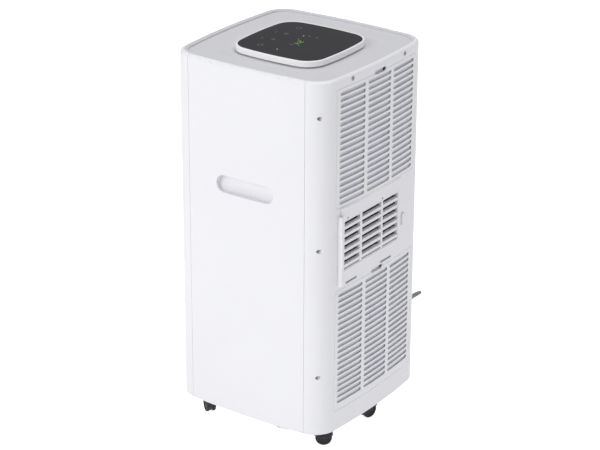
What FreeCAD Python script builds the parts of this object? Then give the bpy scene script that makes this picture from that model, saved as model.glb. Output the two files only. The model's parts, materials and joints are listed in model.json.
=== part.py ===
import FreeCAD, Part
import math
import os

from FreeCAD import Rotation, Vector

# Portable air conditioner.  Millimetres, +Z up, origin on the floor under the middle of the body.
# The air outlet louvre faces -Y, the two filter grilles and the exhaust opening face +Y.

# ---- driving dimensions ----
BASE = 33.0            # floor to the underside of the casing
BODY_H = 655.0         # height of the casing
HALF = 166.15          # half width and half depth of the casing
SIDE_R = 1290.0        # radius of the gently bowed sides
CORNER_R = 44.0        # radius of the upright corners
WALL = 2.5             # moulded wall thickness
RIM_R = 6.0            # rounding of the casing's top edge
LIP_IN = 8.0           # width of the lip that frames the top deck
LIP_T = 4.0            # thickness of that lip
SEAM_Y = 122.0         # the casing splits here into front, sides and rear
SEAM_GAP = 0.5
TOP = BASE + BODY_H

GRILLE_W = 243.0       # both filter grilles
GRILLE_GAP = 0.45
UPPER_Z = (BASE + 423.0, BASE + 637.0)
LOWER_Z = (BASE + 38.0, BASE + 270.0)
UPPER_ROWS, UPPER_FIRST, UPPER_PITCH = 19, BASE + 432.0, 10.86
LOWER_ROWS, LOWER_FIRST, LOWER_PITCH = 20, BASE + 54.5, 10.79
SLOT_H = 7.0
SLAT_T = 1.7            # thickness of the grilles between their slots
PULL_HALF = 16.5        # half width of the finger pull at the top of a grille
SLOT_COLUMNS = ((-113.0, -43.0), (-35.0, 35.0), (43.0, 113.0))
MESH_CELLS = ((-105.0, -42.0), (-39.0, 36.0), (39.0, 105.0))

FACE_X, FACE_Y = (-74.0, 108.6), 166.2              # flat face that carries the exhaust and its adapter
FACE_Z = (BASE + 275.9, BASE + 421.0)
EXHAUST_X = (-65.0, 103.5)
EXHAUST_Z = (BASE + 305.0, BASE + 396.5)
EXHAUST_COLUMNS = ((-64.0, -17.0), (-11.5, 48.0), (55.0, 102.5))
EXHAUST_ROWS, EXHAUST_PITCH = 7, 14.2
EXHAUST_CELL_H, EXHAUST_DEPTH = 9.0, 6.0
ADAPTER_HOLES_X = (-14.5, 93.3)
ADAPTER_HOLE_Z = BASE + 400.4
ADAPTER_HOLE_R = 2.2

GRIP_Y, GRIP_Z, GRIP_H, GRIP_DEPTH = 60.0, BASE + 436.8, 32.0, 15.0
CORNER_SCREW = (148.9, 146.5)
CORNER_SCREW_Z = (BASE + 112.0, BASE + 352.0, BASE + 592.0)
TOP_SCREW_X, TOP_SCREW_Z = 80.0, BASE + 647.0

PANEL_HALF, PANEL_SIDE_R, PANEL_CORNER_R = 94.0, 560.0, 40.0
PANEL_TOP = TOP + 4.5
GLASS_T = 3.0

OUTLET_Z = BASE + 560.0    # middle of the front air outlet
OUTLET_HALF_W, OUTLET_HALF_H = 105.0, 40.0
FLAP_AXIS_Y = -156.0
VANE_AXIS_Y = -112.0
VANE_X = (-66.0, -22.0, 22.0, 66.0)
VANE_HALF_H = 38.0
LINK_ARM = 9.0

WHEEL_R, WHEEL_W, WHEEL_GAP = 15.0, 6.0, 5.6
CASTER_TRAIL = 15.0
CASTERS = (                # stem x, stem y, direction in which the wheels trail (degrees)
    (126.0, 124.0, 125.0),
    (126.0, -116.0, 52.0),
    (-126.0, -124.0, 200.0),
    (-126.0, 124.0, 270.0),
    (-28.0, 146.5, -15.0),
)
STEM_R, AXLE_R, RUN = 4.0, 2.0, 0.05

CORD_R = 3.25
CORD_EXIT = Vector(-158.0, 130.0, 172.5)
RELIEF_LEN = 20.6
COIL_MID_R = 39.0
COIL_CENTRE = (-224.1, -100.0)
TAIL_LEAVES = -45.0        # angle round the coil at which the plug's end leaves it
CORD_ROUTE = (
    (-178.6, 130.0, 172.5), (-206.0, 130.0, 170.5), (-227.0, 117.0, 161.0), (-233.0, 91.0, 142.0),
    (-228.0, 65.0, 114.0), (-217.5, 41.0, 80.0), (-204.5, 18.0, 46.5), (-192.5, -7.0, 19.0),
    (-183.5, -36.0, 5.0), (-180.2, -60.0, 3.6), (-178.6, -83.5, 3.25),
)

AXIS = {"X": Vector(1, 0, 0), "Y": Vector(0, 1, 0), "Z": Vector(0, 0, 1)}


# ---- building blocks ----
def box(x0, x1, y0, y1, z0, z1):
    return Part.makeBox(x1 - x0, y1 - y0, z1 - z0, Vector(x0, y0, z0))


def rod(point, axis, radius, length):
    """Cylinder of a length that starts at point and runs along axis."""
    return Part.makeCylinder(radius, length, Vector(*point), AXIS.get(axis, axis))


def fuse(shapes):
    return shapes[0].multiFuse(list(shapes[1:])).removeSplitter() if len(shapes) > 1 else shapes[0]


def cut(shape, *tools):
    return shape.cut(Part.makeCompound(list(tools)))


def rounded(block, axis, radius):
    """Round the four edges of a box that run along an axis."""
    along = [e for e in block.Edges if abs(e.tangentAt(e.FirstParameter).dot(AXIS[axis])) > 0.99]
    return block.makeFillet(radius, along)


def outline(half, side_r, corner_r, inset, z):
    """Closed wire of four bowed sides and four round corners, moved inwards by inset."""
    offset = side_r - half
    centre = (math.sqrt(2 * (side_r - corner_r) ** 2 - offset ** 2) - offset) / 2
    turn = math.atan2(centre, centre + offset)
    edges = []
    for quarter in range(4):
        base = quarter * math.pi / 2
        side_c = Vector(-offset * math.cos(base), -offset * math.sin(base), z)
        spin = base + math.pi / 4
        corner_c = Vector(math.cos(spin), math.sin(spin), 0) * centre * math.sqrt(2) + Vector(0, 0, z)
        edges.append(arc(side_c, side_r - inset, base - turn, base + turn))
        edges.append(arc(corner_c, corner_r - inset, base + turn, base + math.pi / 2 - turn))
    return Part.Wire(edges)


def arc(centre, radius, start, end):
    points = [centre + Vector(math.cos(a), math.sin(a), 0) * radius for a in (start, (start + end) / 2, end)]
    return Part.Arc(*points).toShape()


def slab(inset, z0, z1, half=HALF, side_r=SIDE_R, corner_r=CORNER_R):
    """Solid with the bowed outline between two heights."""
    face = Part.Face(outline(half, side_r, corner_r, inset, z0))
    return face.extrude(Vector(0, 0, z1 - z0))


def panel_slab(inset, z0, z1):
    return slab(inset, z0, z1, PANEL_HALF, PANEL_SIDE_R, PANEL_CORNER_R)


def ring(inner, outer, z0, z1):
    return slab(outer, z0, z1).cut(slab(inner, z0 - 1, z1 + 1))


def surface_y(x, inset=0.0):
    """How far out the bowed rear surface is at x."""
    return HALF - SIDE_R + math.sqrt((SIDE_R - inset) ** 2 - x * x)


def soft_path(points):
    """Straight runs joined by tangent arcs as large as their runs allow."""
    points = [Vector(*p) for p in points]
    edges, start, radii = [], points[0], []
    for before, corner, after in zip(points, points[1:], points[2:]):
        back, ahead = before - corner, after - corner
        shorter = min(back.Length, ahead.Length)
        half_turn = (math.pi - back.getAngle(ahead)) / 2
        reach = 0.45 * shorter
        back.normalize()
        ahead.normalize()
        radius = reach / math.tan(half_turn)
        radii.append(round(radius, 1))
        entry, leave = corner + back * reach, corner + ahead * reach
        bisector = back + ahead
        bisector.normalize()
        middle = corner + bisector * (math.hypot(radius, reach) - radius)
        edges.append(Part.LineSegment(start, entry).toShape())
        edges.append(Part.Arc(entry, middle, leave).toShape())
        start = leave
    edges.append(Part.LineSegment(start, points[-1]).toShape())
    return Part.Wire(edges), radii


def tube(points, radius):
    path, radii = soft_path(points)
    section = Part.Wire(Part.makeCircle(radius, Vector(*points[0]), path.Edges[0].tangentAt(0)))
    pipe = path.makePipeShell([section], True, True)
    return pipe, path.Length, radii


def loft(wires):
    return Part.makeLoft(wires, True, True)


# ---- casing ----
def casing_tube():
    outer = slab(0, BASE, TOP)
    top_edges = [e for e in outer.Edges if all(abs(v.Z - TOP) < 1e-6 for v in e.Vertexes)]
    outer = outer.makeFillet(RIM_R, top_edges)
    return cut(outer, slab(WALL, BASE - 1, TOP - LIP_T), slab(LIP_IN, TOP - LIP_T - 1, TOP + 1))


def filter_window(z0, z1):
    """Opening for a filter grille, with a notch for its pull tab."""
    half = GRILLE_W / 2 + GRILLE_GAP
    hole = rounded(box(-half, half, 140, 180, z0 - GRILLE_GAP, z1 + GRILLE_GAP), "Y", 5.4)
    notch = rounded(box(-18, 18, 140, 180, z1 - 6, z1 + 5.5), "Y", 2.0)
    return hole.fuse(notch)


def screw_cup(x, z, side):
    """Deep cup that carries a corner screw."""
    cup = rod((side * x, CORNER_SCREW[1] - 12, z), "Y", 5.6, 20)
    bore = rod((side * x, CORNER_SCREW[1] - 10, z), "Y", 4.0, 40)
    thread = rod((side * x, CORNER_SCREW[1] - 14, z), "Y", 2.1, 10)
    return cup, bore, thread


def exhaust_face():
    """Flat face let into the bowed rear wall, and the hollow behind it."""
    block = box(*FACE_X, 159.5, FACE_Y, *FACE_Z)
    edges = [e for e in block.Edges if all(abs(v.Y - FACE_Y) < 1e-6 for v in e.Vertexes)]
    hollow = box(FACE_X[0] + 3, FACE_X[1] - 3, 140, FACE_Y - 3, FACE_Z[0] + 3, FACE_Z[1] - 3)
    return block.makeChamfer(1.5, edges), hollow


def rear_shell(casing):
    shell = casing.common(box(-200, 200, SEAM_Y + SEAM_GAP / 2, 200, 0, TOP + 10))
    block, hollow = exhaust_face()
    shell = shell.fuse(block).cut(hollow)
    added, removed = [], [filter_window(*UPPER_Z), filter_window(*LOWER_Z)]
    gap = 0.3
    x0, x1 = EXHAUST_X
    z0, z1 = EXHAUST_Z
    removed.append(box(x0 - gap, x1 + gap, 140, 180, z0 - gap, z1 + gap))
    removed.append(rounded(box(-90, -79.5, 140, 180, BASE + 326.5, BASE + 348.5), "Y", 1.0))
    for x0, x1 in ((63.0, 98.0), (-45.2, -10.0)):
        z = BASE + 280.2
        removed.append(rounded(box(x0, x1, 140, 180, z - 1.5, z + 1.5), "Y", 1.4))
        added.append(box(x0 + 1, x1 - 1, 165, FACE_Y + 1.6, z - 3.8, z - 2.0))
    for x in ADAPTER_HOLES_X:
        added.append(rod((x, 158, ADAPTER_HOLE_Z), "Y", 3.5, FACE_Y - 159))
        removed.append(rod((x, 150, ADAPTER_HOLE_Z), "Y", ADAPTER_HOLE_R, 30))
    outside = slab(0.8, BASE, TOP)
    for side in (-1, 1):
        for z in CORNER_SCREW_Z:
            cup, bore, thread = screw_cup(CORNER_SCREW[0], z, side)
            added.append(cup.common(outside))
            removed += [bore, thread]
        removed.append(rod((side * TOP_SCREW_X, 140, TOP_SCREW_Z), "Y", 2.1, 40))
        recess = surface_y(TOP_SCREW_X) - 1.2
        removed.append(rod((side * TOP_SCREW_X, recess, TOP_SCREW_Z), "Y", 4.2, 10))
    removed.append(rod((-200, CORD_EXIT.y, CORD_EXIT.z), "X", 5.2, 80))
    return cut(fuse([shell] + added), *removed)


def front_shell(casing):
    shell = casing.common(box(-200, 200, -200, -SEAM_Y - SEAM_GAP / 2, 0, TOP + 10))
    window = rounded(box(-OUTLET_HALF_W, OUTLET_HALF_W, -180, -140,
                         OUTLET_Z - OUTLET_HALF_H, OUTLET_Z + OUTLET_HALF_H), "Y", 5.0)
    return cut(shell, window)


def grip_hole(grow, x0, x1):
    block = box(x0, x1, -GRIP_Y - grow, GRIP_Y + grow, GRIP_Z - GRIP_H / 2 - grow, GRIP_Z + GRIP_H / 2 + grow)
    return rounded(block, "X", GRIP_H / 2 + grow - 0.05)


def side_panel(casing, side):
    half = SEAM_Y - SEAM_GAP / 2
    span = box(100, 200, -half, half, 0, TOP + 10)
    hole = grip_hole(0, 100, 200)
    lugs = [box(143, 156, 112, 121.5, z - 8, z + 8) for z in CORNER_SCREW_Z]
    lugs += [box(155, 165, 114, 121.5, z - 8, z + 8) for z in CORNER_SCREW_Z]
    panel = casing.common(span)
    panel = fuse([panel] + [lug.common(slab(1.0, BASE, TOP)) for lug in lugs])
    threads = [rod((CORNER_SCREW[0], 100, z), "Y", 1.8, 60) for z in CORNER_SCREW_Z]
    panel = cut(panel, hole, *threads)
    return panel if side > 0 else panel.mirror(Vector(), AXIS["X"])


def grip(side):
    """Finger pocket behind the side panel, deeper at its top."""
    inner = HALF - GRIP_DEPTH
    cup = grip_hole(2.2, inner - 2.2, 170).common(slab(WALL + 0.05, BASE, TOP))
    floor = HALF - GRIP_DEPTH * 0.6
    hollow = cut(grip_hole(-0.2, inner, 175),
                 wedge(inner, floor, GRIP_Z - GRIP_H / 2 - 1, GRIP_Z + GRIP_H / 2))
    cup = cup.cut(hollow)
    return cup if side > 0 else cup.mirror(Vector(), AXIS["X"])


def wedge(x_in, x_out, z0, z1):
    """Sloping back wall of the grip: it is nearer the outside at the bottom."""
    points = [Vector(x_in - 1, -GRIP_Y - 5, z0), Vector(x_out, -GRIP_Y - 5, z0),
              Vector(x_in, -GRIP_Y - 5, z1), Vector(x_in - 1, -GRIP_Y - 5, z1)]
    face = Part.Face(Part.makePolygon(points + points[:1]))
    return face.extrude(Vector(0, 2 * GRIP_Y + 10, 0))


def sump_block(inset, z0):
    return rounded(box(140 + inset, 160 - inset, 20 + inset, 90 - inset, z0, BASE + 8), "Z", 4.0)


def base_pan():
    pan = slab(WALL + 0.3, BASE, BASE + 26).cut(slab(WALL + 3.3, BASE + 4, BASE + 27))
    sockets = [rod((x, y, BASE + 3), "Z", 8.0, 17) for x, y, _ in CASTERS]
    pan = fuse([pan, sump_block(0, BASE - 3.6)] + sockets)
    stems = [rod((x, y, BASE - 1), "Z", STEM_R + RUN, 18) for x, y, _ in CASTERS]
    sump = rounded(box(142.5, 157.5, 22.5, 87.5, BASE - 1.2, BASE + 5), "Z", 2.5)
    drain = rod((150, 66, BASE - 10), "Z", 5.05, 20)
    return cut(pan, sump, drain, *stems)


def drain_plug():
    stopper = rod((150, 66, BASE - 3.6), "Z", 5.0, 6.0)
    flange = rod((150, 66, BASE - 6.1), "Z", 8.0, 2.5)
    tab = box(149, 151, 60, 72, BASE - 10, BASE - 6.1)
    return fuse([stopper, flange, tab])


# ---- top ----
def dish(drop, grow):
    """Shallow funnel cut into the deck, whose floor carries the control panel."""
    wires = [outline(HALF, SIDE_R, CORNER_R, 10.0 - grow, TOP - 0.8 - drop)]
    for inset, depth in ((46.0, 4.0), (58.0, 6.0), (68.0, 8.0)):
        wires.append(outline(HALF - inset + grow, 700.0, 44.0, 0, TOP - depth - drop))
    return fuse([loft([upper, lower]) for upper, lower in zip(wires, wires[1:])])


def top_deck():
    plate = dish(3.0, 1.6)
    border = ring(13.0, LIP_IN + 0.2, TOP - 4.1, TOP - 0.8)
    flange = ring(16.0, WALL + 0.6, TOP - 7.0, TOP - 4.05)
    boss_end = surface_y(TOP_SCREW_X + 7, WALL + 0.3)
    bosses = [box(x - 7, x + 7, 150, boss_end, TOP - 13, TOP - 4.2) for x in (-TOP_SCREW_X, TOP_SCREW_X)]
    deck = fuse([plate, border, flange] + bosses)
    opening = panel_slab(8.0, TOP - 30, TOP + 5)
    screws = [rod((x, 140, TOP_SCREW_Z), "Y", 1.8, 40) for x in (-TOP_SCREW_X, TOP_SCREW_X)]
    return cut(deck, dish(0.0, 0.0), opening, *screws)


def panel_rim():
    rim = panel_slab(0, TOP - 5.5, PANEL_TOP + 0.2)
    edges = [e for e in rim.Edges if all(abs(v.Z - PANEL_TOP - 0.2) < 1e-6 for v in e.Vertexes)]
    rim = rim.makeFillet(1.2, edges)
    skirt = panel_slab(8.3, TOP - 14, TOP - 5.4)
    seat = panel_slab(3.5, PANEL_TOP - GLASS_T, PANEL_TOP + 5)
    return cut(rim.fuse(skirt), seat, panel_slab(10.5, TOP - 20, TOP + 9))


def control_glass():
    glass = panel_slab(3.6, PANEL_TOP - GLASS_T, PANEL_TOP)
    edges = [e for e in glass.Edges if all(abs(v.Z - PANEL_TOP) < 1e-6 for v in e.Vertexes)]
    return glass.makeChamfer(0.4, edges)


def control_board():
    board = box(-72, 72, -72, 40, TOP - 4.6, TOP - 3.0)
    display = box(-20, 20, -12, 12, TOP - 3.0, TOP + 1.0)
    chips = [box(x, x + 12, 20, 32, TOP - 3.0, TOP - 1.0) for x in (-50, -20, 24)]
    return fuse([board, display] + chips)


# ---- rear grilles and their filters ----
def slots(z_first, pitch, rows, y0, y1):
    made = []
    for row in range(rows):
        z = z_first + row * pitch
        for x0, x1 in SLOT_COLUMNS:
            made.append(rounded(box(x0, x1, y0, y1, z - SLOT_H / 2, z + SLOT_H / 2), "Y", SLOT_H / 2 - 0.1))
    return made


def filter_grille(span, z_first, pitch, rows):
    z0, z1 = span
    half = GRILLE_W / 2
    mask = rounded(box(-half, half, 140, 180, z0, z1), "Y", 5.0)
    plate = ring(WALL, 0, z0 - 1, z1 + 1).common(mask)
    thin = box(-half + 4, half - 4, 140, 180, z0 + 5, z1 - 5.2).common(slab(SLAT_T, BASE, TOP))
    scoop = rounded(box(-PULL_HALF + 0.5, PULL_HALF - 0.5, 161, 180, z1 - 2.6, z1 + 3), "Y", 1.6)
    plate = cut(plate, thin, scoop, *slots(z_first, pitch, rows, 140, 180))
    return plate.fuse(finger_pull(z1))


def finger_pull(z1):
    """Ledge and upright tongue behind the scoop at the top of a grille."""
    ledge = box(-PULL_HALF, PULL_HALF, 159.0, 164.6, z1 - 4.6, z1 - 2.9)
    tongue = box(-PULL_HALF, PULL_HALF, 159.0, 160.6, z1 - 4.6, z1 + 4.0)
    return ledge.fuse(tongue)


def filter_frame(span, row_floor):
    z0, z1 = span[0] + 3.0, span[1] - 3.0
    frame = ring(WALL + 3.6, WALL + 0.1, z0, z1).common(box(-117, 117, 140, 180, z0, z1))
    openings = [box(x0, x1, 140, 180, row_floor, z1 - 6) for x0, x1 in MESH_CELLS]
    return cut(frame, box(-18, 18, 140, 180, z1 - 2.5, z1 + 1), *openings)


def filter_mesh(span, row_floor):
    sheet = ring(WALL + 1.1, WALL + 0.3, span[0] + 3, span[1] - 3)
    cells = [box(x0 + 0.05, x1 - 0.05, 140, 180, row_floor + 0.05, span[1] - 9.05) for x0, x1 in MESH_CELLS]
    return sheet.common(Part.makeCompound(cells))


# ---- exhaust ----
def exhaust_grille():
    x0, x1 = EXHAUST_X
    z0, z1 = EXHAUST_Z
    front = FACE_Y - 0.5
    block = box(x0, x1, front - EXHAUST_DEPTH, front, z0, z1)
    flange = box(x0 - 5, x1 + 1.8, FACE_Y - 5.6, FACE_Y - 3.3, z0 - 5, z1)
    cells = []
    for row in range(EXHAUST_ROWS):
        top = z1 - 1.4 - row * EXHAUST_PITCH
        low = max(top - EXHAUST_CELL_H, z0 + 1.5)
        for cx0, cx1 in EXHAUST_COLUMNS:
            cells.append(sloped_cell(cx0, cx1, low, top))
    return cut(block.fuse(flange), *cells)


def sloped_cell(x0, x1, z0, z1):
    """Air passage that climbs towards the inside, so that rain and light stay out."""
    reach = 60.0
    rise = reach * math.tan(math.radians(12))
    face = Part.Face(Part.makePolygon([Vector(x0, 180, z0 - rise / 4), Vector(x1, 180, z0 - rise / 4),
                                       Vector(x1, 180, z1 - rise / 4), Vector(x0, 180, z1 - rise / 4),
                                       Vector(x0, 180, z0 - rise / 4)]))
    return face.extrude(Vector(0, -reach, rise))


def adapter_rail():
    """Guide on which the hose adapter is hooked."""
    z0, z1 = BASE + 279.7, BASE + 407.7
    proud = surface_y(114.5)
    web = box(113.0, 116.0, 150, proud + 8.4, z0, z1)
    lip = box(109.4, 114.0, proud + 6.4, proud + 8.4, z0, z1)
    boss = box(113.0, 116.0, 150, proud + 10.0, BASE + 312.7, BASE + 367.7)
    rail = fuse([web, lip, boss])
    return rail.cut(slab(-0.02, BASE, TOP))


def adapter_latch():
    """Springy catch that snaps over the hose adapter."""
    z0, z1 = BASE + 327.2, BASE + 347.8
    face = surface_y(83) + 3.4
    tongue = rounded(box(-86.0, -80.5, 150.0, face, z0, z1), "Y", 1.0)
    foot = box(-100.0, -80.5, 150.0, 153.0, z0 + 2, z1 - 2)
    return tongue.fuse(foot)


# ---- front air outlet ----
def outlet_duct():
    hw, hh = OUTLET_HALF_W + 1.5, OUTLET_HALF_H + 1.5
    outer = box(-hw - 2.5, hw + 2.5, -180, -90, OUTLET_Z - hh - 2.5, OUTLET_Z + hh + 2.5)
    outer = outer.common(slab(WALL + 0.2, BASE, TOP))
    inner = box(-hw, hw, -190, -80, OUTLET_Z - hh, OUTLET_Z + hh)
    pivots = [rod((x, VANE_AXIS_Y, OUTLET_Z - hh - 5), "Z", AXLE_R + RUN, 2 * hh + 10) for x in VANE_X]
    pins = rod((-hw - 5, FLAP_AXIS_Y, OUTLET_Z), "X", AXLE_R + RUN, 2 * hw + 10)
    return cut(outer, inner, pins, *pivots)


def outlet_flap():
    half_w, half_h = OUTLET_HALF_W - 0.6, OUTLET_HALF_H - 0.6
    mask = rounded(box(-half_w, half_w, -180, -140, OUTLET_Z - half_h, OUTLET_Z + half_h), "Y", 4.6)
    plate = ring(WALL, 0, OUTLET_Z - 45, OUTLET_Z + 45).common(mask)
    arms = []
    for side in (-1, 1):
        arm = box(100.0, 103.5, -163.0, FLAP_AXIS_Y, OUTLET_Z - 5, OUTLET_Z + 5).fuse(
            rod((100.0, FLAP_AXIS_Y, OUTLET_Z), "X", 5.0, 3.5))
        pin = rod((100.0, FLAP_AXIS_Y, OUTLET_Z), "X", AXLE_R, 8.5)
        arm = arm.fuse(pin).common(slab(1.0, BASE, TOP))
        arms.append(arm if side > 0 else arm.mirror(Vector(), AXIS["X"]))
    return fuse([plate] + arms)


def vane(x):
    blade = rounded(box(x - 1, x + 1, VANE_AXIS_Y - 11, VANE_AXIS_Y + 11,
                        OUTLET_Z - VANE_HALF_H, OUTLET_Z + VANE_HALF_H), "X", 4.0)
    notch = box(x - 3, x + 3, VANE_AXIS_Y + 5, VANE_AXIS_Y + 20, OUTLET_Z + 28, OUTLET_Z + 45)
    pivot = rod((x, VANE_AXIS_Y, OUTLET_Z - OUTLET_HALF_H - 3.5), "Z", AXLE_R, 2 * OUTLET_HALF_H + 7)
    pin = rod((x, VANE_AXIS_Y + LINK_ARM, OUTLET_Z + 27), "Z", 0.95, 7)
    return fuse([blade.cut(notch), pivot, pin])


def vane_link():
    y = VANE_AXIS_Y + LINK_ARM
    bar = rounded(box(-76, 76, y - 3.4, y + 2.6, OUTLET_Z + 30, OUTLET_Z + 32.4), "Z", 2.0)
    slots_made = [box(x - 1.4, x + 1.4, y - 2.4, y + 1.4, OUTLET_Z + 25, OUTLET_Z + 40) for x in VANE_X]
    return cut(bar, *slots_made)


def flap_motor():
    x0 = OUTLET_HALF_W + 4.2
    can = rod((x0, FLAP_AXIS_Y + 22, OUTLET_Z), "X", 14.0, 19.0)
    ears = box(x0, x0 + 1.2, FLAP_AXIS_Y + 5, FLAP_AXIS_Y + 39, OUTLET_Z - 5, OUTLET_Z + 5)
    return can.fuse(ears)


# ---- refrigeration and fans ----
def fan_wheel(centre, axis, radius, width, shaft_span):
    """Blower wheel: back plate, ring of blades and end ring.  The shaft is a solid of its own."""
    blades = 28
    plate = rod((0, 0, 0), "Z", radius, 2.0)
    hub = rod((0, 0, 0), "Z", 12.0, 18.0)
    end = rod((0, 0, width - 3), "Z", radius, 3.0).cut(rod((0, 0, width - 4), "Z", radius - 10, 5.0))
    blade = box(radius - 11, radius - 1, -0.8, 0.8, 1, width - 2)
    ribs = []
    for i in range(blades):
        rib = blade.copy()
        rib.rotate(Vector(radius - 6, 0, 0), AXIS["Z"], 35)
        rib.rotate(Vector(), AXIS["Z"], i * 360.0 / blades)
        ribs.append(rib)
    wheel = fuse([plate, hub, end] + ribs).cut(rod((0, 0, -5), "Z", STEM_R, 40))
    shaft = rod((0, 0, shaft_span[0]), "Z", STEM_R, shaft_span[1] - shaft_span[0])
    both = Part.makeCompound([wheel, shaft])
    both.Placement = FreeCAD.Placement(Vector(*centre), Rotation(AXIS["Z"], axis))
    return both


def fan_motor(centre, axis, radius, length):
    can = rod((0, 0, 0), "Z", radius, length)
    edges = [e for e in can.Edges if e.Curve.TypeId == "Part::GeomCircle"]
    can = can.makeFillet(4.0, edges).fuse(rod((0, 0, length - 1), "Z", 9.0, 5.0))
    can = can.cut(rod((0, 0, length - 28), "Z", STEM_R + RUN, 60))
    can.Placement = FreeCAD.Placement(Vector(*centre), Rotation(AXIS["Z"], axis))
    return can


UPPER_FAN_Z = OUTLET_Z - 12
LOWER_FAN_Y = -20.0


def upper_scroll():
    def solid(grow):
        drum = rod((0, -62 - grow, UPPER_FAN_Z), "Y", 92 + grow, 92 + 2 * grow)
        throat = box(-98 - grow, 98 + grow, -89.5 - 3 * grow, -30, OUTLET_Z - 38 - grow, OUTLET_Z + 38 + grow)
        return drum.fuse(throat)
    skin = cut(solid(2.2), solid(0.0))
    inlet = rod((0, 20, UPPER_FAN_Z), "Y", 62, 30)
    mouth = box(-98, 98, -100, -60, OUTLET_Z - 38, OUTLET_Z + 38)
    front = box(-150, 150, -120, -89.8, 0, TOP)
    return fuse([cut(skin, inlet, mouth, front), motor_spider()])


def motor_spider():
    """Collar and three arms that hold the upper fan motor in the middle of the scroll's inlet."""
    collar = rod((0, 34, UPPER_FAN_Z), "Y", 37.5, 12).cut(rod((0, 33, UPPER_FAN_Z), "Y", 34.3, 14))
    arms = []
    for i in range(3):
        arm = box(36, 70, 30.5, 38, -3, 3)
        arm.rotate(Vector(), AXIS["Y"], 30 + i * 120)
        arm.translate(Vector(0, 0, UPPER_FAN_Z))
        arms.append(arm)
    return fuse([collar] + arms)


def lower_scroll():
    z0, z1 = BASE + 291.0, EXHAUST_Z[1] + 1.0

    def solid(grow):
        drum = rod((0, LOWER_FAN_Y, z0 - grow), "Z", 100 + grow, z1 - z0 + 2 * grow)
        throat = box(EXHAUST_X[0] - grow, EXHAUST_X[1] + grow, LOWER_FAN_Y, 157.2, z0 - grow, z1 + grow)
        return drum.fuse(throat)
    skin = cut(solid(2.2), solid(0.0))
    inlet = rod((0, LOWER_FAN_Y, z0 - 20), "Z", 64, 30)
    mouth = box(EXHAUST_X[0], EXHAUST_X[1], 100, 170, z0, z1)
    shaft = rod((0, LOWER_FAN_Y, z1 - 5), "Z", 12.0, 20)
    return cut(skin, inlet, mouth, shaft)


def divider_plate():
    plate = slab(WALL + 0.8, BASE + 279.0, BASE + 282.0)
    return cut(plate, rod((0, LOWER_FAN_Y, BASE + 270), "Z", 64, 30), box(-108, 108, 108, 180, BASE, TOP),
               rod((-125, -60, BASE + 270), "Z", 20, 30))


def heat_exchanger(z0, z1, y0, y1):
    """Stack of upright fins on a tube core, with an end plate and hairpin bends at both ends."""
    pitch, gap, depth = 3.0, 1.8, 12.0
    block = box(-104.0, 104.0, y0, y1, z0, z1)
    grooves = []
    for i in range(68):
        x = -102.0 + i * pitch
        grooves.append(box(x, x + gap, y0 - 1, y0 + depth, z0 - 1, z1 + 1))
        grooves.append(box(x, x + gap, y1 - depth, y1 + 1, z0 - 1, z1 + 1))
    bends = []
    count = int((z1 - z0) // 24)
    for i in range(count):
        z = z0 + 14 + i * 24
        for x in (-104.0, 104.0):
            bend = Part.makeTorus(8.0, 3.5, Vector(x, (y0 + y1) / 2, z), AXIS["Y"])
            near, far = sorted((x, x + math.copysign(20, x)))
            bends.append(bend.common(box(near, far, y0 - 5, y1 + 5, z - 20, z + 20)))
    return fuse([cut(block, *grooves)] + bends)


def compressor():
    can = rod((34, -52, BASE + 24), "Z", 55, 190)
    edges = [e for e in can.Edges if e.Curve.TypeId == "Part::GeomCircle"]
    can = can.makeFillet(18.0, edges)
    cavity = rod((34, -52, BASE + 36), "Z", 45, 160)
    tank = rod((-52, -52, BASE + 60), "Z", 24, 120)
    tank = tank.makeFillet(10.0, [e for e in tank.Edges if e.Curve.TypeId == "Part::GeomCircle"])
    strap = box(-40, -10, -62, -42, BASE + 110, BASE + 125)
    return cut(fuse([can, tank, strap, foot_plate()]), cavity)


def foot_plate():
    plate = box(-26, 94, -112, 8, BASE + 20, BASE + 24.5)
    return plate.common(rod((34, -52, BASE + 20), "Z", 74, 5))


def compressor_feet():
    feet = []
    for i in range(3):
        a = math.radians(90 + i * 120)
        x, y = 34 + 64 * math.cos(a), -52 + 64 * math.sin(a)
        feet.append(rod((x, y, BASE + 4), "Z", 9.0, 16.0))
    return Part.makeCompound(feet)


def refrigerant_pipes():
    runs = (
        ((34, -52, BASE + 212), (34, -52, BASE + 240), (90, -30, BASE + 252), (124, 30, BASE + 250),
         (126, 90, BASE + 240), (113.5, 126, BASE + 226)),
        ((-52, -52, BASE + 178), (-52, -52, BASE + 215), (-90, -56, BASE + 240), (-125, -60, BASE + 262),
         (-125, -60, BASE + 330), (-128, -20, BASE + 410), (-128, 60, BASE + 465), (-113.5, 127, BASE + 488)),
    )
    return Part.makeCompound([tube(run, 4.0)[0] for run in runs])


def electric_box():
    shell = rounded(box(-152, -112, -70, 50, BASE + 500, BASE + 600), "X", 6.0)
    inner = rounded(box(-149, -115, -67, 47, BASE + 503, BASE + 597), "X", 4.0)
    board = box(-147, -145.4, -60, 40, BASE + 510, BASE + 590)
    capacitor = rod((-130, -30, BASE + 520), "Z", 12.0, 60)
    return Part.makeCompound([shell.cut(inner), board, capacitor])


def condensate_tray():
    tray = box(-112, 112, 96, 154, BASE + 408, BASE + 424).common(slab(WALL + 4.5, BASE, TOP))
    return tray.cut(box(-109, 109, 99, 151, BASE + 410.5, BASE + 430).common(slab(WALL + 7.0, BASE, TOP)))


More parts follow.
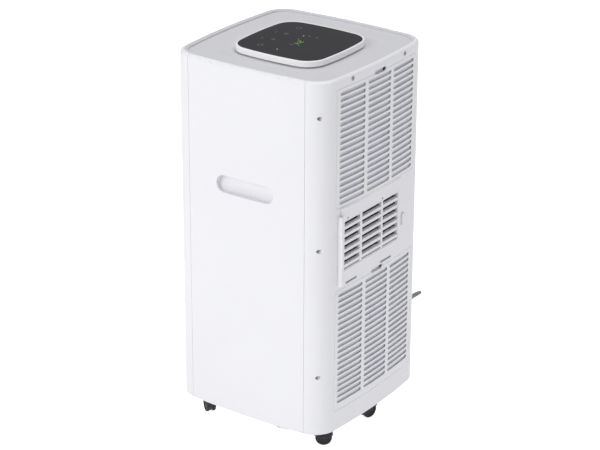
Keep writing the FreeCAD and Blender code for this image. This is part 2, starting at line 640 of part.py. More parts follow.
# ---- fasteners ----
def screw(point, length):
    """Pan-head screw driven along -Y; point is the seat of its head."""
    head = rod(point, "Y", 3.4, 2.2)
    head = head.makeFillet(0.9, [e for e in head.Edges if abs(e.BoundBox.YMin - point[1] - 2.2) < 1e-4
                                 and e.Curve.TypeId == "Part::GeomCircle"])
    x, y, z = point
    recess = box(x - 2, x + 2, y + 1.2, y + 3, z - 0.4, z + 0.4).fuse(
        box(x - 0.4, x + 0.4, y + 1.2, y + 3, z - 2, z + 2))
    shank = rod((point[0], point[1] - length, point[2]), "Y", 1.75, length)
    return head.cut(recess).fuse(shank)


def casing_screws():
    made = []
    for side in (-1, 1):
        for z in CORNER_SCREW_Z:
            made.append(screw((side * CORNER_SCREW[0], CORNER_SCREW[1] - 10, z), 22.0))
        made.append(screw((side * TOP_SCREW_X, surface_y(TOP_SCREW_X) - 1.2, TOP_SCREW_Z), 9.0))
    return Part.makeCompound(made)


# ---- casters ----
def place_caster(shape, x, y, angle):
    shape.rotate(Vector(), AXIS["Z"], angle)
    shape.translate(Vector(x, y, 0))
    return shape


def caster_frame(x, y, angle):
    """Stem, hood and web of a twin-wheel caster, with its axle as a solid of its own."""
    t = CASTER_TRAIL
    stem = rod((0, 0, 24), "Z", STEM_R, BASE - 24 + 15.5)
    collar = rod((0, 0, 26), "Z", 8.0, 4.6)
    web = rod((t, -WHEEL_GAP / 2 + 0.3, WHEEL_R), "Y", WHEEL_R - 1.5, WHEEL_GAP - 0.6)
    web = web.fuse(box(-4, t, -WHEEL_GAP / 2 + 0.3, WHEEL_GAP / 2 - 0.3, WHEEL_R + 3, 27))
    width = WHEEL_GAP / 2 + WHEEL_W
    hood = rod((t, -width, WHEEL_R), "Y", WHEEL_R + 2.4, 2 * width)
    hood = cut(hood, rod((t, -width - 1, WHEEL_R), "Y", WHEEL_R + 0.9, 2 * width + 2),
               box(-40, 60, -30, 30, -5, WHEEL_R + 4.0), box(-40, 60, -30, 30, BASE - 2.0, 60))
    axle_hole = rod((t, -30, WHEEL_R), "Y", AXLE_R, 60)
    inside = rod((t, -30, WHEEL_R), "Y", WHEEL_R + 0.9, 60)
    middle = box(-60, 60, -WHEEL_GAP / 2 + 0.3, WHEEL_GAP / 2 - 0.3, -5, 60)
    stem_part = cut(fuse([stem, collar]), cut(inside, middle))
    frame = fuse([stem_part, web, hood]).cut(axle_hole)
    axle = rod((t, -width + 0.5, WHEEL_R), "Y", AXLE_R, 2 * width - 1)
    return place_caster(Part.makeCompound([frame, axle]), x, y, angle)


def caster_wheels(x, y, angle):
    made = []
    for side in (-1, 1):
        near = WHEEL_GAP / 2 + 0.1
        wheel = rod((CASTER_TRAIL, near, WHEEL_R), "Y", WHEEL_R, WHEEL_W - 0.2)
        wheel = wheel.makeFillet(1.4, [e for e in wheel.Edges if e.Curve.TypeId == "Part::GeomCircle"])
        dishes = rod((CASTER_TRAIL, near + WHEEL_W - 1.4, WHEEL_R), "Y", WHEEL_R - 4.5, 5).cut(
            rod((CASTER_TRAIL, near, WHEEL_R), "Y", 4.2, 20))
        wheel = cut(wheel, dishes, rod((CASTER_TRAIL, near - 5, WHEEL_R), "Y", AXLE_R + RUN, 30))
        made.append(wheel if side > 0 else wheel.mirror(Vector(), AXIS["Y"]))
    return place_caster(Part.makeCompound(made), x, y, angle)


# ---- cord ----
def strain_relief():
    """Tapered bush with a flange behind the rear shell."""
    point, out = CORD_EXIT, Vector(-1, 0, 0)
    neck = Part.makeCylinder(5.15, 12.0, point + Vector(8.0, 0, 0), out)
    flange = Part.makeCylinder(7.5, 2.0, point + Vector(8.0, 0, 0), out)
    cone = Part.makeCone(5.15, CORD_R + 0.45, RELIEF_LEN - 4.0, point + Vector(-4.0, 0, 0), out)
    grooves = [Part.makeCylinder(8, 1.0, point + Vector(-6.5 - 3.2 * i, 0, 0), out).cut(
        Part.makeCylinder(4.6 - 0.33 * i, 1.0, point + Vector(-6.5 - 3.2 * i, 0, 0), out)) for i in range(4)]
    return cut(fuse([neck, flange, cone]), *grooves)


def power_cord():
    return tube(CORD_ROUTE, CORD_R)


def cord_coil():
    """Outer shape of the put-away turns: three on the floor and three on top of them."""
    x, y = COIL_CENTRE
    turns = Part.makeCylinder(COIL_MID_R + 3 * CORD_R, 4 * CORD_R, Vector(x, y, 0))
    return turns.cut(Part.makeCylinder(COIL_MID_R - 3 * CORD_R, 30, Vector(x, y, -1)))


def cord_plug():
    """Moulded three-pin plug on the floor, in line with the outer turn of the coil where its end leaves."""
    height, neck_from, body_from, body_to = 11.5, 16.0, 42.0, 80.0
    body = rounded(box(body_from, body_to, -17, 17, 0, 24), "X", 7.0)
    neck_at = Vector(neck_from, 0, height)
    neck = Part.makeCone(CORD_R + 1.0, 7.5, body_from + 1 - neck_from, neck_at, AXIS["X"])
    blades = [box(body_to - 2, body_to + 18, s - 0.8, s + 0.8, 6.5, 13.0) for s in (-6.35, 6.35)]
    ground = rod((body_to - 2, 0, 18.5), "X", 2.4, 22)
    plug = fuse([body, neck, ground] + blades)
    angle = math.radians(TAIL_LEAVES)
    radius = COIL_MID_R + 2 * CORD_R
    start = Vector(COIL_CENTRE[0] + radius * math.cos(angle), COIL_CENTRE[1] + radius * math.sin(angle), 0)
    plug.Placement = FreeCAD.Placement(start, Rotation(AXIS["Z"], TAIL_LEAVES - 90))
    return plug


# ---- everything ----
def build():
    casing = casing_tube()
    upper_floor, lower_floor = UPPER_FIRST + 6, LOWER_FIRST + 6
    parts = {
        "front_shell": front_shell(casing),
        "rear_shell": rear_shell(casing),
        "right_side_panel": side_panel(casing, 1),
        "left_side_panel": side_panel(casing, -1),
        "right_grip": grip(1),
        "left_grip": grip(-1),
        "base_pan": base_pan(),
        "drain_plug": drain_plug(),
        "top_deck": top_deck(),
        "panel_rim": panel_rim(),
        "control_glass": control_glass(),
        "control_board": control_board(),
        "upper_grille": filter_grille(UPPER_Z, UPPER_FIRST, UPPER_PITCH, UPPER_ROWS),
        "upper_filter_frame": filter_frame(UPPER_Z, upper_floor),
        "upper_filter_mesh": filter_mesh(UPPER_Z, upper_floor),
        "lower_grille": filter_grille(LOWER_Z, LOWER_FIRST, LOWER_PITCH, LOWER_ROWS),
        "lower_filter_frame": filter_frame(LOWER_Z, lower_floor),
        "lower_filter_mesh": filter_mesh(LOWER_Z, lower_floor),
        "exhaust_grille": exhaust_grille(),
        "adapter_rail": adapter_rail(),
        "adapter_latch": adapter_latch(),
        "outlet_duct": outlet_duct(),
        "outlet_flap": outlet_flap(),
        "vane_link": vane_link(),
        "flap_motor": flap_motor(),
        "upper_scroll": upper_scroll(),
        "lower_scroll": lower_scroll(),
        "divider_plate": divider_plate(),
        "upper_fan_wheel": fan_wheel((0, -48, UPPER_FAN_Z), Vector(0, 1, 0), 74, 62, (-4, 92)),
        "upper_fan_motor": fan_motor((0, 78, UPPER_FAN_Z), Vector(0, -1, 0), 34, 48),
        "lower_fan_wheel": fan_wheel((0, LOWER_FAN_Y, BASE + 375), Vector(0, 0, -1), 78, 74, (-30, 22)),
        "lower_fan_motor": fan_motor((0, LOWER_FAN_Y, BASE + 436), Vector(0, 0, -1), 32, 34),
        "evaporator": heat_exchanger(BASE + 426, BASE + 628, 114, 146),
        "condenser": heat_exchanger(BASE + 44, BASE + 266, 112, 146),
        "compressor": compressor(),
        "compressor_feet": compressor_feet(),
        "refrigerant_pipes": refrigerant_pipes(),
        "electric_box": electric_box(),
        "condensate_tray": condensate_tray(),
        "casing_screws": casing_screws(),
        "strain_relief": strain_relief(),
        "cord_coil": cord_coil(),
        "cord_plug": cord_plug(),
    }
    parts["power_cord"], length, radii = power_cord()
    print("cord run", round(length, 1), "radii", radii, "volume ratio",
          round(parts["power_cord"].Volume / (math.pi * CORD_R ** 2 * length), 4))
    for number, x in enumerate(VANE_X, 1):
        parts[f"vane_{number}"] = vane(x)
    for number, (x, y, angle) in enumerate(CASTERS, 1):
        parts[f"caster_{number}_frame"] = caster_frame(x, y, angle)
        parts[f"caster_{number}_wheels"] = caster_wheels(x, y, angle)
    return parts


def main():
    os.makedirs("parts", exist_ok=True)
    for name, shape in build().items():
        shape.exportStep(f"parts/{name}.step")
        print(name, len(shape.Solids), shape.isValid(), round(shape.Volume / 1000, 1))


main()
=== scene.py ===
import json
import math

import bmesh
import bpy
from mathutils import Matrix, Vector

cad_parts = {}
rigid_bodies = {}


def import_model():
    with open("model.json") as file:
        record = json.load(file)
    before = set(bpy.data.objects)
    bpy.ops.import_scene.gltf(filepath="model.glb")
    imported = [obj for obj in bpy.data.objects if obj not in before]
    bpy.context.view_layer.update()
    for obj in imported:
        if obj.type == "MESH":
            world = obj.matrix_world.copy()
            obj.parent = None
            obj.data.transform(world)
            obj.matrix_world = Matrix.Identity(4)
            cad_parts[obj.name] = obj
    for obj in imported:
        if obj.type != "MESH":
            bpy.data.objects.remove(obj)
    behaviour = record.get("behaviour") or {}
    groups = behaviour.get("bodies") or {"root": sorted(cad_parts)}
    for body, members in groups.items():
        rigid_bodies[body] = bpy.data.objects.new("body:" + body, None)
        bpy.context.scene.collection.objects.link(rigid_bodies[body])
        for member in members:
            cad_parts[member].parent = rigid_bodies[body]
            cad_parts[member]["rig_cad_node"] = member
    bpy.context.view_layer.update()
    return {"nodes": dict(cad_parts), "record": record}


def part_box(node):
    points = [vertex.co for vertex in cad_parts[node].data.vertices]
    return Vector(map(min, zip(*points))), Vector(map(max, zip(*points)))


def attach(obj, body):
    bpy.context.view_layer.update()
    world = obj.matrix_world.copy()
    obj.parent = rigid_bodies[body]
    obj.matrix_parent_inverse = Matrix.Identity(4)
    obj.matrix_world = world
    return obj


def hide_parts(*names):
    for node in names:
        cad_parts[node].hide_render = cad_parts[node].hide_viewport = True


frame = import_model()
NODES = frame["nodes"]
SLOTS = {part["node"]: part["material_slot"] for part in frame["record"]["subparts"]}

# ---- places and sizes, in metres ----
CAMERA_PLACE = Vector((2.95573, 2.06917, 1.88008))
CAMERA_LOOKS_AT = Vector((0.1876, 0.1323, 0.4443))
CAMERA_ROLL = math.radians(0.2512)
CAMERA_LENS = 131.4          # millimetres, on a 36 mm sensor

CORD_R = 0.00325
CORD_ROUTE = (
    (-0.1786, 0.1300, 0.1725), (-0.2060, 0.1300, 0.1705), (-0.2270, 0.1170, 0.1610),
    (-0.2330, 0.0910, 0.1420), (-0.2280, 0.0650, 0.1140), (-0.2175, 0.0410, 0.0800),
    (-0.2045, 0.0180, 0.0465), (-0.1925, -0.0070, 0.0190), (-0.1835, -0.0360, 0.0050),
    (-0.1802, -0.0600, 0.0036), (-0.1786, -0.0835, 0.00325),
)
COIL_CENTRE = Vector((-0.2241, -0.100, 0))
COIL_MID_R = 0.039
COIL_POINTS = 24             # control points in one turn
COIL_TURNS = 6 + 45 / 360
COIL_END = math.radians(-45)
PLUG_HEIGHT = 0.0115         # axis of the plug's neck above the floor
PLUG_ANGLE = math.radians(-135)
PLUG_MIDDLE = 0.012          # height of the plug body's middle
BLADE_SIZE, BLADE_HALF_GAP = (0.019, 0.0016, 0.0064), 0.00635
PIN_RADII, PIN_LENGTH = (0.0024, 0.0021), 0.021

WELD_BELOW = 0.00001
BEVEL_ABOVE = math.radians(40)
SMOOTH_BELOW = math.radians(32)

PANEL_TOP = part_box("control_glass")[1].z


# ---- camera ----
def make_camera():
    camera = bpy.data.objects.new("camera", bpy.data.cameras.new("camera"))
    bpy.context.scene.collection.objects.link(camera)
    camera.data.lens = CAMERA_LENS
    camera.data.sensor_width = 36.0
    camera.data.clip_start, camera.data.clip_end = 0.05, 60.0
    aim = (CAMERA_LOOKS_AT - CAMERA_PLACE).to_track_quat("-Z", "Y")
    camera.rotation_mode = "QUATERNION"
    camera.rotation_quaternion = aim @ Matrix.Rotation(CAMERA_ROLL, 3, "Z").to_quaternion()
    camera.location = CAMERA_PLACE
    bpy.context.scene.camera = camera


# ---- mesh helpers ----
def add_object(name, mesh):
    made = bpy.data.objects.new(name, mesh)
    bpy.context.scene.collection.objects.link(made)
    return made


def from_bmesh(name, bm):
    mesh = bpy.data.meshes.new(name)
    bmesh.ops.recalc_face_normals(bm, faces=bm.faces)
    bm.to_mesh(mesh)
    bm.free()
    return add_object(name, mesh)


def smoothing_group():
    """Geometry nodes that shade smooth across every edge that turns by less than the given angle."""
    group = bpy.data.node_groups.new("smooth_by_angle", "GeometryNodeTree")
    group.interface.new_socket("Geometry", in_out="INPUT", socket_type="NodeSocketGeometry")
    group.interface.new_socket("Geometry", in_out="OUTPUT", socket_type="NodeSocketGeometry")
    make = group.nodes.new
    start, end = make("NodeGroupInput"), make("NodeGroupOutput")
    faces, edges = make("GeometryNodeSetShadeSmooth"), make("GeometryNodeSetShadeSmooth")
    faces.domain, edges.domain = "FACE", "EDGE"
    faces.inputs["Shade Smooth"].default_value = True
    angle = make("GeometryNodeInputMeshEdgeAngle")
    small = make("FunctionNodeCompare")
    small.data_type, small.operation = "FLOAT", "LESS_EQUAL"
    small.inputs[1].default_value = SMOOTH_BELOW
    link = group.links.new
    link(start.outputs[0], faces.inputs["Geometry"])
    link(faces.outputs[0], edges.inputs["Geometry"])
    link(angle.outputs["Unsigned Angle"], small.inputs[0])
    link(small.outputs[0], edges.inputs["Shade Smooth"])
    link(edges.outputs[0], end.inputs[0])
    return group


SMOOTHING = smoothing_group()


def soften(thing, width, segments=2):
    """Small rounded edges and smooth curved faces, by modifiers only."""
    if "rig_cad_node" in thing:
        weld = thing.modifiers.new("weld", "WELD")
        weld.merge_threshold = WELD_BELOW
    if width:
        bevel = thing.modifiers.new("edges", "BEVEL")
        bevel.width, bevel.segments = width, segments
        bevel.limit_method, bevel.angle_limit = "ANGLE", BEVEL_ABOVE
        bevel.use_clamp_overlap = True
        bevel.miter_outer = "MITER_ARC"
    smooth = thing.modifiers.new("smooth", "NODES")
    smooth.node_group = SMOOTHING
    normals = thing.modifiers.new("normals", "WEIGHTED_NORMAL")
    normals.keep_sharp, normals.weight = True, 60
    return thing


# ---- cord ----
def coil_points():
    """Three turns on the floor, wound inwards, and three on top of them, wound outwards.

    The control points stand outside the wanted radius by as much as the spline cuts its corners.
    """
    pitch = 2 * CORD_R
    outer = COIL_MID_R + pitch
    shrink = (3 + math.cos(2 * math.pi / COIL_POINTS)) / 4
    made = []
    for i in range(1, int(COIL_TURNS * COIL_POINTS) + 1):
        turn = i / COIL_POINTS
        if turn <= 3:
            radius = outer - pitch * step_between(turn, 1.0, 1.17)
            radius -= pitch * step_between(turn, 2.0, 2.17)
            height = CORD_R + pitch * step_between(turn, 2.82, 3.0)
        else:
            radius = outer - 2 * pitch
            radius += pitch * (step_between(turn, 4.17, 4.34) + step_between(turn, 5.17, 5.34))
            height = CORD_R + pitch
        angle = -2 * math.pi * turn
        place = Vector((math.cos(angle), math.sin(angle), 0)) * radius / shrink
        made.append(COIL_CENTRE + place + Vector((0, 0, height)))
    return made


def step_between(value, low, high):
    """Smooth step from 0 at low to 1 at high."""
    share = min(1.0, max(0.0, (value - low) / (high - low)))
    return share * share * (3 - 2 * share)


def plug_place():
    """Where the cord leaves the coil for the plug, and the plug's own axes: +X is along its blades."""
    radius = COIL_MID_R + 2 * CORD_R
    start = COIL_CENTRE + Vector((math.cos(COIL_END), math.sin(COIL_END), 0)) * radius
    return Matrix.Translation(start) @ Matrix.Rotation(PLUG_ANGLE, 4, "Z")


def make_cord():
    place = plug_place()
    rise = ((0.008, 0.0099), (0.017, 0.0108), (0.030, PLUG_HEIGHT))
    tail = [place @ Vector((x, 0, z)) for x, z in rise]
    points = [Vector(p) for p in CORD_ROUTE] + coil_points() + tail
    data = bpy.data.curves.new("cord", "CURVE")
    data.dimensions = "3D"
    data.bevel_depth = CORD_R
    data.bevel_resolution = 5
    data.resolution_u = 10
    spline = data.splines.new("NURBS")
    spline.points.add(len(points) - 1)
    for target, point in zip(spline.points, points):
        target.co = (*point, 1.0)
    spline.order_u = 3
    spline.use_endpoint_u = True
    cord = add_object("mains_cord", data)
    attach(cord, "casing")
    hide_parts("power_cord", "cord_coil")
    return cord


def rounded_section(half_y, half_z, corner, steps=6):
    """Points round a rounded rectangle in the YZ plane."""
    points = []
    for quarter, (sy, sz) in enumerate(((1, 1), (-1, 1), (-1, -1), (1, -1))):
        centre = (sy * (half_y - corner), sz * (half_z - corner))
        for i in range(steps + 1):
            a = math.pi / 2 * (quarter + i / steps)
            points.append((centre[0] + corner * math.cos(a), centre[1] + corner * math.sin(a)))
    return points


def loft(bm, sections):
    """Closed skin through (x, z centre, points) sections of equal length."""
    loops = []
    for x, z, points in sections:
        loops.append([bm.verts.new((x, y, z + dz)) for y, dz in points])
    for one, two in zip(loops, loops[1:]):
        count = len(one)
        for i in range(count):
            bm.faces.new((one[i], one[(i + 1) % count], two[(i + 1) % count], two[i]))
    bm.faces.new(loops[0])
    bm.faces.new(loops[-1])


def make_plug():
    """Moulded mains plug: ribbed strain relief, waisted body and metal blades."""
    bm = bmesh.new()
    sections = []
    for i in range(15):
        x = 0.0165 + i * 0.0018
        r = 0.0042 + 0.0032 * i / 14 - (0.0007 if i % 2 else 0.0)
        sections.append((x, PLUG_HEIGHT, rounded_section(r, r, r * 0.98)))
    body = (                 # x, half width, half height, corner radius
        (0.0420, 0.0075, 0.0072, 0.0068), (0.0440, 0.0110, 0.0095, 0.0070),
        (0.0480, 0.0145, 0.0112, 0.0070), (0.0560, 0.0152, 0.0116, 0.0070),
        (0.0640, 0.0150, 0.0114, 0.0068), (0.0700, 0.0166, 0.0118, 0.0070),
        (0.0785, 0.0169, 0.0119, 0.0070), (0.0798, 0.0160, 0.0110, 0.0064),
    )
    for x, half_y, half_z, corner in body:
        sections.append((x, PLUG_MIDDLE, rounded_section(half_y, half_z, corner)))
    loft(bm, sections)
    plug = from_bmesh("plug_body", bm)
    plug.data.transform(plug_place())
    soften(plug, 0.0003)
    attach(plug, "casing")
    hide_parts("cord_plug")

    bm = bmesh.new()
    for side in (-1, 1):
        blade = bmesh.ops.create_cube(bm, size=1.0)["verts"]
        bmesh.ops.scale(bm, vec=BLADE_SIZE, verts=blade)
        bmesh.ops.translate(bm, vec=(0.0880, side * BLADE_HALF_GAP, 0.00975), verts=blade)
    pin = bmesh.ops.create_cone(bm, cap_ends=True, segments=28, radius1=PIN_RADII[0],
                                radius2=PIN_RADII[1], depth=PIN_LENGTH)["verts"]
    bmesh.ops.rotate(bm, cent=(0, 0, 0), matrix=Matrix.Rotation(math.pi / 2, 3, "Y"), verts=pin)
    bmesh.ops.translate(bm, vec=(0.0890, 0, 0.0185), verts=pin)
    blades = from_bmesh("plug_blades", bm)
    blades.data.transform(plug_place())
    soften(blades, 0.0003)
    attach(blades, "casing")
    return plug, blades


# ---- materials ----
class Material:
    """A Principled material with a few short ways to add procedural detail in object coordinates."""

    def __init__(self, name, colour, roughness, metallic=0.0, specular=0.5):
        self.material = bpy.data.materials.new(name)
        self.material.use_nodes = True
        self.tree = self.material.node_tree
        self.shader = self.tree.nodes["Principled BSDF"]
        self.colour = colour
        self.set("Base Color", (*colour, 1.0))
        self.set("Roughness", roughness)
        self.set("Metallic", metallic)
        self.set("Specular IOR Level", specular)
        self.coordinates = self.node("ShaderNodeTexCoord").outputs["Object"]
        self.normal = None

    def set(self, socket, value):
        self.shader.inputs[socket].default_value = value

    def node(self, kind, **settings):
        made = self.tree.nodes.new(kind)
        for key, value in settings.items():
            setattr(made, key, value)
        return made

    def link(self, output, target):
        self.tree.links.new(output, target)

    def stretched(self, scale):
        mapping = self.node("ShaderNodeMapping")
        mapping.inputs["Scale"].default_value = scale
        self.link(self.coordinates, mapping.inputs["Vector"])
        return mapping.outputs[0]

    def noise(self, scale, detail=2.0, stretch=None):
        made = self.node("ShaderNodeTexNoise")
        made.inputs["Scale"].default_value = scale
        made.inputs["Detail"].default_value = detail
        self.link(self.stretched(stretch) if stretch else self.coordinates, made.inputs["Vector"])
        return made.outputs["Fac"]

    def cells(self, scale):
        made = self.node("ShaderNodeTexVoronoi")
        made.inputs["Scale"].default_value = scale
        self.link(self.coordinates, made.inputs["Vector"])
        return made.outputs["Distance"]

    def bands(self, period, direction):
        made = self.node("ShaderNodeTexWave", wave_type="BANDS", bands_direction=direction)
        made.inputs["Scale"].default_value = math.pi / 10 / period
        self.link(self.coordinates, made.inputs["Vector"])
        return made.outputs["Fac"]

    def spread(self, value, low, high, start=0.3, stop=0.7):
        made = self.node("ShaderNodeMapRange")
        made.inputs["From Min"].default_value = start
        made.inputs["From Max"].default_value = stop
        made.inputs["To Min"].default_value = low
        made.inputs["To Max"].default_value = high
        self.link(value, made.inputs["Value"])
        return made.outputs["Result"]

    def math(self, operation, one, two):
        made = self.node("ShaderNodeMath", operation=operation)
        for socket, value in zip(made.inputs, (one, two)):
            if isinstance(value, (int, float)):
                socket.default_value = value
            else:
                self.link(value, socket)
        return made.outputs[0]

    def tint(self, value, other):
        """Mix the material's colour towards another one."""
        mix = self.node("ShaderNodeMix", data_type="RGBA")
        mix.inputs["A"].default_value = (*self.colour, 1.0)
        mix.inputs["B"].default_value = (*other, 1.0)
        self.link(value, mix.inputs["Factor"])
        self.link(mix.outputs["Result"], self.shader.inputs["Base Color"])
        return self

    def rough(self, value):
        self.link(value, self.shader.inputs["Roughness"])
        return self

    def bump(self, height, distance, strength=1.0):
        made = self.node("ShaderNodeBump")
        made.inputs["Distance"].default_value = distance
        made.inputs["Strength"].default_value = strength
        self.link(height, made.inputs["Height"])
        if self.normal:
            self.link(self.normal, made.inputs["Normal"])
        self.normal = made.outputs["Normal"]
        self.link(self.normal, self.shader.inputs["Normal"])
        return self


def shade(colour, factor):
    return tuple(c * factor for c in colour)


def moulded(name, colour, roughness, grain=2600.0, depth=0.00002, coat=0.0):
    """Injection-moulded plastic: spark-eroded grain, slow colour drift and slightly uneven gloss."""
    made = Material(name, colour, roughness)
    slow = made.noise(5.0, 3.0)
    made.tint(made.spread(slow, 0.0, 1.0), shade(colour, 0.975))
    made.rough(made.spread(made.noise(38.0, 4.0), roughness - 0.03, roughness + 0.05))
    made.bump(made.noise(grain, 2.0), depth)
    made.bump(made.noise(16.0, 1.0), 0.00008, 0.35)
    if coat:
        made.set("Coat Weight", coat)
        made.set("Coat Roughness", 0.12)
    return made.material


def woven(name, colour):
    """Fine filter net: two sets of threads, with the open cells between them painted darker as painted
    shade for the dim inside seen through them, and a slow random tone drift on top.
    """
    made = Material(name, colour, 0.75, specular=0.25)
    across, up = made.bands(0.0016, "X"), made.bands(0.0016, "Z")
    threads = made.math("MAXIMUM", across, up)
    # painted shade: the open cells are darkened to stand in for the shaded inside seen through the net
    open_cell_shade = made.spread(threads, 1.0, 0.0, 0.55, 0.85)
    drift = made.spread(made.noise(30.0, 3.0), 0.0, 0.35)
    made.tint(made.math("MAXIMUM", open_cell_shade, drift), shade(colour, 0.45))
    made.bump(threads, 0.00018)
    return made.material


def finned(name, colour):
    """Rolled aluminium fins: streaks along the fins, dull spots of oxide."""
    made = Material(name, colour, 0.42, metallic=0.9)
    streaks = made.noise(60.0, 4.0, stretch=(12.0, 12.0, 0.6))
    made.tint(made.spread(streaks, 0.0, 1.0), shade(colour, 0.7))
    made.rough(made.spread(streaks, 0.34, 0.55))
    made.bump(streaks, 0.00006)
    return made.material


def plated(name, colour, roughness):
    """Zinc-plated or rolled steel with a brushed grain and a few dull patches."""
    made = Material(name, colour, roughness, metallic=1.0)
    grain = made.noise(900.0, 3.0, stretch=(1.0, 1.0, 0.08))
    patches = made.noise(24.0, 4.0)
    made.tint(made.spread(patches, 0.0, 1.0), shade(colour, 0.72))
    made.rough(made.spread(patches, roughness - 0.06, roughness + 0.12))
    made.bump(grain, 0.00003)
    return made.material


def enamel(name, colour):
    """Thick black paint with orange peel."""
    made = Material(name, colour, 0.32)
    made.bump(made.noise(420.0, 2.0), 0.00006)
    made.tint(made.spread(made.noise(18.0, 4.0), 0.0, 1.0), shade(colour, 1.7))
    made.rough(made.spread(made.noise(45.0, 3.0), 0.26, 0.42))
    made.set("Coat Weight", 0.3)
    made.set("Coat Roughness", 0.15)
    return made.material


def drawn_copper(name, colour):
    made = Material(name, colour, 0.3, metallic=1.0)
    stain = made.noise(40.0, 5.0)
    made.tint(made.spread(stain, 0.0, 1.0, 0.4, 0.75), (0.30, 0.16, 0.10))
    made.rough(made.spread(stain, 0.22, 0.5))
    made.bump(made.noise(700.0, 2.0), 0.00002)
    return made.material


def rubbery(name, colour, roughness):
    """Soft rubber or flexible sheath: fine matt grain, dust in the grain."""
    made = Material(name, colour, roughness, specular=0.35)
    fine = made.noise(1800.0, 3.0)
    made.tint(made.spread(made.noise(120.0, 5.0), 0.0, 1.0), shade(colour, 1.35))
    made.rough(made.spread(fine, roughness - 0.08, roughness + 0.08))
    made.bump(fine, 0.00004)
    return made.material


def foamed(name, colour):
    made = Material(name, colour, 0.9, specular=0.2)
    beads = made.cells(320.0)
    # painted shade: each bead darkens towards its edge, where the grooves between beads fall in shade
    made.tint(made.spread(beads, 0.0, 1.0, 0.0, 0.6), shade(colour, 0.8))
    made.bump(beads, 0.0004)
    return made.material


def laminate(name, colour):
    """Circuit board: solder resist over a grid of copper tracks and pads."""
    made = Material(name, colour, 0.35)
    tracks = made.math("MAXIMUM", made.bands(0.0064, "X"), made.bands(0.0048, "Y"))
    made.tint(made.spread(tracks, 0.0, 0.8, 0.82, 0.9), (0.12, 0.42, 0.16))
    made.bump(tracks, 0.00006)
    pads = made.cells(260.0)
    made.rough(made.spread(pads, 0.2, 0.42, 0.05, 0.4))
    return made.material


def smoked_panel(name, colour):
    """Black gloss touch panel with the faintest dust and a slow ripple."""
    made = Material(name, colour, 0.2, specular=0.07)
    made.tint(made.spread(made.noise(14.0, 2.0), 0.0, 1.0), shade(colour, 1.12))
    made.rough(made.spread(made.noise(500.0, 4.0), 0.17, 0.26, 0.45, 0.7))
    made.bump(made.noise(30.0, 1.0), 0.00002, 0.3)
    return made.material


def printed(name, colour, strength=0.0):
    """Screen-printed marks; with a strength, they are lit from behind."""
    made = Material(name, colour, 0.5)
    grain = made.spread(made.noise(4000.0, 2.0), 0.0, 1.0)
    made.tint(grain, shade(colour, 0.8))
    made.bump(made.noise(4000.0, 2.0), 0.00001)
    if strength:
        made.set("Emission Color", (*colour, 1.0))
        made.set("Emission Strength", strength)
    return made.material


def make_materials():
    return {
        "white_plastic": moulded("satin_white", (0.82, 0.82, 0.845), 0.40),
        "grey_plastic": moulded("satin_grey", (0.645, 0.645, 0.67), 0.36),
        "rim_plastic": moulded("gloss_white", (0.95, 0.95, 0.96), 0.18, 1400.0, 0.00001, 0.5),
        "dark_plastic": moulded("dark_grey", (0.06, 0.06, 0.065), 0.5),
        "black_glass": smoked_panel("black_panel", (0.020, 0.020, 0.024)),
        "circuit_board": laminate("board_green", (0.03, 0.20, 0.08)),
        "filter_mesh": woven("filter_net", (0.86, 0.885, 0.94)),
        "foam": foamed("foam_grey", (0.60, 0.60, 0.61)),
        "fins": finned("rolled_aluminium", (0.70, 0.71, 0.73)),
        "steel": plated("zinc_steel", (0.58, 0.58, 0.60), 0.34),
        "screw_steel": plated("screw_zinc", (0.42, 0.42, 0.44), 0.30),
        "black_steel": enamel("black_enamel", (0.018, 0.018, 0.020)),
        "copper": drawn_copper("copper_pipe", (0.72, 0.34, 0.20)),
        "rubber": rubbery("black_rubber", (0.025, 0.025, 0.026), 0.62),
        "cord_rubber": rubbery("grey_sheath", (0.20, 0.20, 0.21), 0.48),
        "caster_plastic": moulded("caster_black", (0.028, 0.028, 0.031), 0.36),
        "caster_tyre": rubbery("caster_tread", (0.020, 0.020, 0.022), 0.5),
    }


def paint(thing, material):
    thing.data.materials.clear()
    thing.data.materials.append(material)
    return thing


def finish_cad_nodes(materials):
    """Every CAD node that stays gets its slot's material and softened edges."""
    widths = {
        "front_shell": 0.0004, "rear_shell": 0.0004, "right_side_panel": 0.0004,
        "left_side_panel": 0.0004, "upper_grille": 0.0004, "lower_grille": 0.0004,
        "exhaust_grille": 0.0003, "adapter_rail": 0.0005, "adapter_latch": 0.0004,
        "right_grip": 0.0005, "left_grip": 0.0005, "panel_rim": 0.0003, "top_deck": 0.0004,
        "control_glass": 0.0002, "outlet_flap": 0.0004, "drain_plug": 0.0005,
        "base_pan": 0.0005, "casing_screws": 0.0002, "strain_relief": 0.0003,
    }
    for name, node in NODES.items():
        paint(node, materials[SLOTS[name]])
        width = widths.get(name, 0.0003 if name.startswith("caster") else 0.0)
        soften(node, width)


# ---- control panel marks ----
MARK_Z = PANEL_TOP + 0.00012
BOLD, THIN, SEGMENT = 0.0006, 0.0005, 0.0011     # line widths


def flat_bar(bm, one, two, width):
    """Thin upright-sided bar between two points on the panel."""
    one, two = Vector((*one, 0)), Vector((*two, 0))
    along = (two - one).normalized()
    side = Vector((-along.y, along.x, 0)) * width / 2
    low = [one + side, two + side, two - side, one - side]
    prism(bm, low)


def prism(bm, low, base=-0.0001, thickness=0.0002):
    bottom = [bm.verts.new((p.x, p.y, base)) for p in low]
    top = [bm.verts.new((p.x, p.y, base + thickness)) for p in low]
    bm.faces.new(bottom)
    bm.faces.new(top)
    for i in range(len(low)):
        j = (i + 1) % len(low)
        bm.faces.new((bottom[i], bottom[j], top[j], top[i]))


